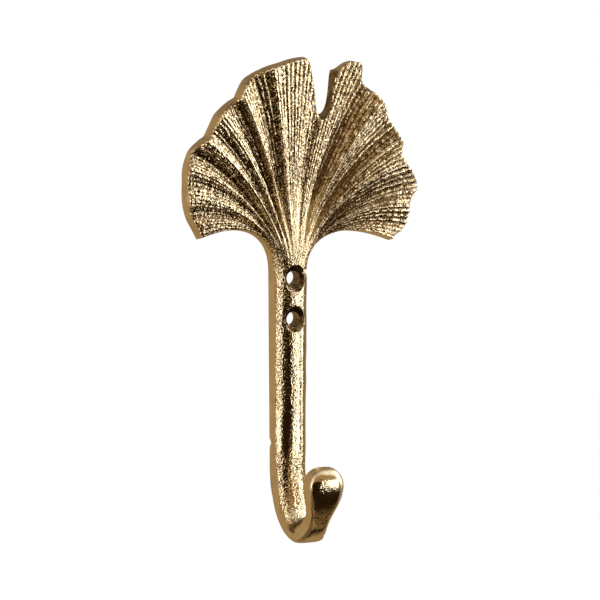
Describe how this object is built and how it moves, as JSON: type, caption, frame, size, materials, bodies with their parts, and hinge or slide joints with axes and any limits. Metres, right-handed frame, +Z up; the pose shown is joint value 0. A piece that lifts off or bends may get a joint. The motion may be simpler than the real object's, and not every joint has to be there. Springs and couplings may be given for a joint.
{
  "type": "wall hook",
  "caption": "Cast brass wall hook: a pleated fan leaf with a notched rim on a flat-backed stem with countersunk screw holes, ending in a J-shaped hook with a thick rounded tip.",
  "frame": {"origin": "on the wall plane at the hook's flat back, midway between the two screw holes", "axes": "+Z up the wall along the stem towards the leaf, +Y into the wall, -Y out towards the room and the hook's tip, +X to the right as seen from the front"},
  "size_m": [0.0789, 0.0307, 0.1471],
  "materials": {
    "cast_brass": "sand cast, darkened in the grooves and polished on the ridges"
  },
  "bodies": {
    "root": {"wall_hook": "cast_brass"}
  },
  "joints": []
}
